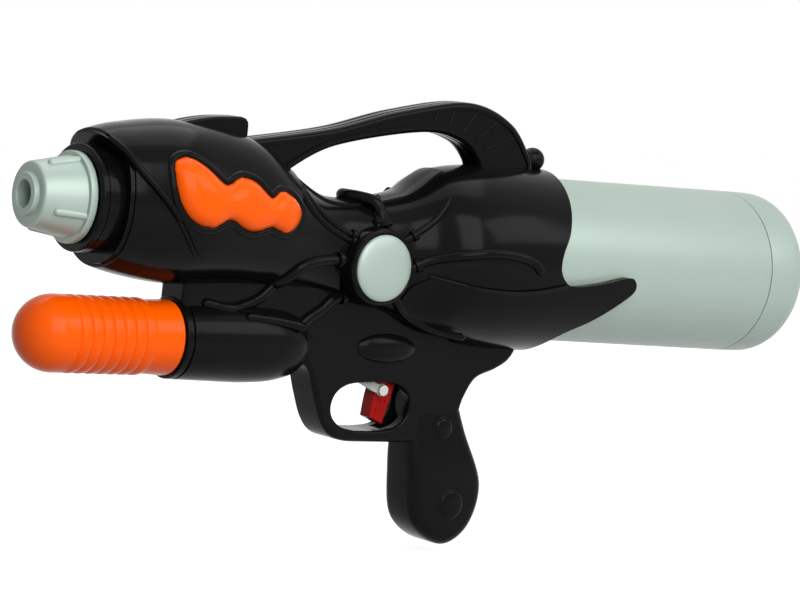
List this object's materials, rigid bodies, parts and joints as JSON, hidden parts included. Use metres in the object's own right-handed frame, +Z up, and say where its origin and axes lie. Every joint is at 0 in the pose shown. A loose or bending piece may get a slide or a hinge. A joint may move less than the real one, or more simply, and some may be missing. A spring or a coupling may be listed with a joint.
{
  "type": "water squirter",
  "caption": "Hand-pumped toy water squirter with carry handle, pistol grip, sliding pump grip under the barrel, sprung trigger valve, screw-on nozzle and round rear tank.",
  "frame": {"origin": "middle of the pistol grip, where the hand holds it, on the joint plane of the two shells", "axes": "+X from the nozzle towards the tank, +Z up, Y = 0 is the joint of the two housing shells"},
  "size_m": [0.4675, 0.097, 0.2229],
  "materials": {
    "black_plastic": "moulded gloss black",
    "silver_plastic": "satin silver-grey with fine metallic pigment",
    "orange_plastic": "moulded gloss orange",
    "red_plastic": "moulded gloss red",
    "white_plastic": "natural white moulding",
    "grey_plastic": "light grey moulding",
    "clear_tube": "milky soft tube",
    "rubber": "black seal rubber",
    "steel": "zinc-plated steel"
  },
  "bodies": {
    "housing": {"housing_left": "black_plastic", "housing_right": "black_plastic", "nozzle_ring": "rubber", "barrel_tube": "white_plastic", "side_panel_left": "orange_plastic", "side_panel_right": "orange_plastic", "medallion_left": "silver_plastic", "medallion_right": "silver_plastic", "pump_cylinder": "white_plastic", "cylinder_gland": "white_plastic", "check_valve": "white_plastic", "tank_gasket": "rubber", "tank_socket": "white_plastic", "dip_tube": "clear_tube", "outlet_hose": "clear_tube", "water_hose": "clear_tube", "air_hose": "clear_tube", "trigger_pin": "steel", "valve_spring": "steel", "valve_body": "white_plastic", "valve_cap": "white_plastic", "screw_nose": "steel", "screw_chin": "steel", "screw_brow": "steel", "screw_handle": "steel", "screw_frame": "steel", "screw_tang": "steel", "screw_grip": "steel", "screw_butt": "steel"},
    "nozzle": {"nozzle_cap": "silver_plastic"},
    "pump": {"pump_grip": "orange_plastic", "pump_rod": "white_plastic", "piston": "white_plastic", "piston_ring": "rubber"},
    "trigger": {"trigger": "red_plastic", "link_pin": "steel"},
    "valve_slider": {"valve_link": "grey_plastic", "valve_stem": "white_plastic", "valve_seal": "rubber"},
    "tank": {"tank": "silver_plastic", "tank_end": "silver_plastic"}
  },
  "joints": [
    {"name": "nozzle_twist", "type": "hinge", "parent": "housing", "child": "nozzle", "pos_m": [-0.239, 0, 0.126], "axis": [-1, 0, 0], "range_deg": [0, 270]},
    {"name": "pump_slide", "type": "slide", "parent": "housing", "child": "pump", "axis": [-1, 0, 0], "range_m": [0, 0.05]},
    {"name": "trigger_pull", "type": "hinge", "parent": "housing", "child": "trigger", "pos_m": [-0.033, 0, 0.06], "axis": [0, -1, 0], "range_deg": [0, 12], "stiffness_Nm_per_rad": 0.25},
    {"name": "valve_slide", "type": "slide", "parent": "housing", "child": "valve_slider", "axis": [0.9336, 0, -0.3584], "range_m": [0, 0.0043], "deforming": ["valve_spring"]},
    {"name": "tank_twist", "type": "hinge", "parent": "housing", "child": "tank", "pos_m": [0.1, 0, 0.1115], "axis": [1, 0, 0], "range_deg": [0, 60]}
  ],
  "couplings": [
    {"joint": "valve_slide", "follows": "trigger_pull", "m_per_rad": 0.02009}
  ]
}
